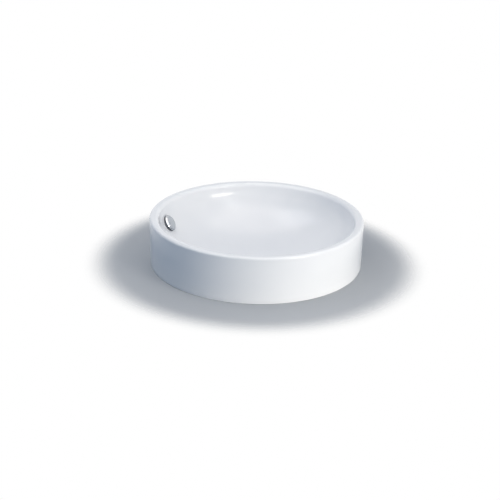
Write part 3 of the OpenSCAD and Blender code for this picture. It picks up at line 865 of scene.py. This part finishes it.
def springMesh(s):
    wire = arc((0, 0), s["wire"] * mm, 0, 360, s["sides"])[:-1]
    # an end size of 1 leaves the wire's ends at full width
    return tidied(grown(loop([(p.x, p.y, 0) for p in wire]), "winding", {
        "Radius": s["radius"] * mm, "Pitch": s["length"] / s["turns"] * mm, "Turns": s["turns"],
        "Steps": s["steps"], "Run-out": 0.001, "End Size": 1, "Bottom": s["bottom"] * mm}), 60)


cartridgeSpring = addPiece("cartridgeSpring", springMesh(spring), "springSteel",
                           "cartridge_spring")
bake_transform(cartridgeSpring)


# CAD pieces whose shape is right keep it and get their real finish
kept = {"cartridge_gland": "machinedBrass", "cartridge_plunger": "turnedStainless",
        "cartridge_rotor": "whiteAcetal"}
for node, name in kept.items():
    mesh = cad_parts[node].data
    mesh.materials.clear()
    mesh.materials.append(finish[name])
print("kept pieces dressed")


# A thin pale floor that fades out into the white background, open under the bowl and wide enough
# to hide the tail behind it in the photo's view
stageFloor = {"inner": 208, "outer": 350, "fadeFrom": 262, "level": -0.2, "shade": "#BCBFC2",
              "rings": 8, "around": 128}


def floorMaterial(c):
    # a matt pale floor, clear towards its outer edge and seen from below
    material = bpy.data.materials.new("mattFloor")
    material.use_nodes = True
    tree = material.node_tree
    tree.nodes.clear()
    place = addNode(tree, "ShaderNodeTexCoord").outputs["Object"]
    reach = addNode(tree, "ShaderNodeVectorMath", {0: place}, operation="LENGTH")
    fade = addNode(tree, "ShaderNodeMapRange",
                   {"Value": reach.outputs["Value"], "From Min": c["fadeFrom"] * mm,
                    "From Max": c["outer"] * mm}, interpolation_type="SMOOTHERSTEP")
    below = addNode(tree, "ShaderNodeNewGeometry").outputs["Backfacing"]
    gone = addNode(tree, "ShaderNodeMath", {0: fade.outputs[0], 1: below}, operation="MAXIMUM")
    matt = addNode(tree, "ShaderNodeBsdfDiffuse", {"Color": colour(c["shade"])})
    clear = addNode(tree, "ShaderNodeBsdfTransparent")
    mix = addNode(tree, "ShaderNodeMixShader", {0: gone.outputs[0], 1: matt.outputs[0],
                                                2: clear.outputs[0]})
    addNode(tree, "ShaderNodeOutputMaterial", {"Surface": mix.outputs[0]})
    return material


def floorMesh(c):
    rings, around = c["rings"], c["around"]
    reaches = [c["inner"] + (c["outer"] - c["inner"]) * j / rings for j in range(rings + 1)]
    ways = [(math.cos(2 * math.pi * k / around), math.sin(2 * math.pi * k / around))
            for k in range(around)]
    verts = [(r * x * mm, r * y * mm, c["level"] * mm) for r in reaches for x, y in ways]
    faces = [(j * around + k, (j + 1) * around + k, (j + 1) * around + (k + 1) % around,
              j * around + (k + 1) % around) for j in range(rings) for k in range(around)]
    return plainMesh(verts, faces=faces)


floor = bpy.data.objects.new("stageFloor", floorMesh(stageFloor))
floor.data.materials.append(floorMaterial(stageFloor))
scene.collection.objects.link(floor)


# Soft studio light, each lamp placed by its side and height as seen from the camera, in degrees,
# with its size and its distance from the aim in m
lampAim = Vector((0, 0, 50 * mm))
lamps = {
    "keySoftbox": {"side": 37, "height": 10, "away": 1.6, "width": 0.7, "tall": 0.6,
                   "watts": 5.7, "shade": "#FFF8ED", "mirrored": False},
    "glintSoftbox": {"side": 45, "height": 6, "away": 1.6, "width": 0.75, "tall": 0.5,
                     "watts": 10.4, "shade": "#FFF8ED", "mirrored": True},
    "stripSoftbox": {"side": 41, "height": 44, "away": 1.5, "width": 0.35, "tall": 0.9,
                     "watts": 1.4, "shade": "#FFFFFF", "mirrored": True},
    "overheadSoftbox": {"side": 0, "height": 88, "away": 1.3, "width": 1.4, "tall": 1.4,
                        "watts": 8.1, "shade": "#FFF4E8", "mirrored": True},
    "sideSoftbox": {"side": -90, "height": 60, "away": 1.5, "width": 0.9, "tall": 0.9,
                    "watts": 4.2, "shade": "#FFFFFF", "mirrored": True},
    "backSoftbox": {"side": 190, "height": 5, "away": 1.6, "width": 0.9, "tall": 0.7,
                    "watts": 8, "shade": "#FFF6EC", "mirrored": False},
    "underSoftbox": {"side": 180, "height": -70, "away": 1.3, "width": 0.9, "tall": 0.9,
                     "watts": 5, "shade": "#FFF2E4", "mirrored": False},
}


def addLamp(name, c):
    side, height = math.radians(c["side"]), math.radians(c["height"])
    way = turned((math.sin(side) * math.cos(height), -math.cos(side) * math.cos(height),
                  math.sin(height)))
    light = bpy.data.lights.new(name, "AREA")
    light.shape, light.size, light.size_y = "RECTANGLE", c["width"], c["tall"]
    light.energy, light.color = c["watts"], colour(c["shade"])[:3]
    obj = bpy.data.objects.new(name, light)
    obj.matrix_world = (Matrix.Translation(lampAim + way * c["away"])
                        @ way.to_track_quat("Z", "Y").to_matrix().to_4x4())
    obj.visible_glossy = c["mirrored"]
    scene.collection.objects.link(obj)


for name, c in lamps.items():
    addLamp(name, c)

sky = {"backdrop": "#FFFFFF", "fill": "#AAD3FF", "fillStrength": 0.255}


def lightWorld(c):
    # the camera, mirrors and clear pieces see the white backdrop, and the fill lights the rest
    world = bpy.data.worlds.new("studio")
    scene.world = world
    world.use_nodes = True
    tree = world.node_tree
    tree.nodes.clear()
    path = addNode(tree, "ShaderNodeLightPath").outputs
    seen = path["Is Camera Ray"]
    for name in ("Is Glossy Ray", "Is Transmission Ray"):
        seen = addNode(tree, "ShaderNodeMath", {0: seen, 1: path[name]},
                       operation="MAXIMUM").outputs[0]
    fill = addNode(tree, "ShaderNodeBackground",
                   {"Color": colour(c["fill"]), "Strength": c["fillStrength"]})
    white = addNode(tree, "ShaderNodeBackground", {"Color": colour(c["backdrop"]),
                                                   "Strength": 1.0})
    mix = addNode(tree, "ShaderNodeMixShader", {0: seen, 1: fill.outputs[0],
                                                2: white.outputs[0]})
    addNode(tree, "ShaderNodeOutputWorld", {"Surface": mix.outputs[0]})


lightWorld(sky)
scene.view_settings.view_transform = "Standard"
print("stage lit")
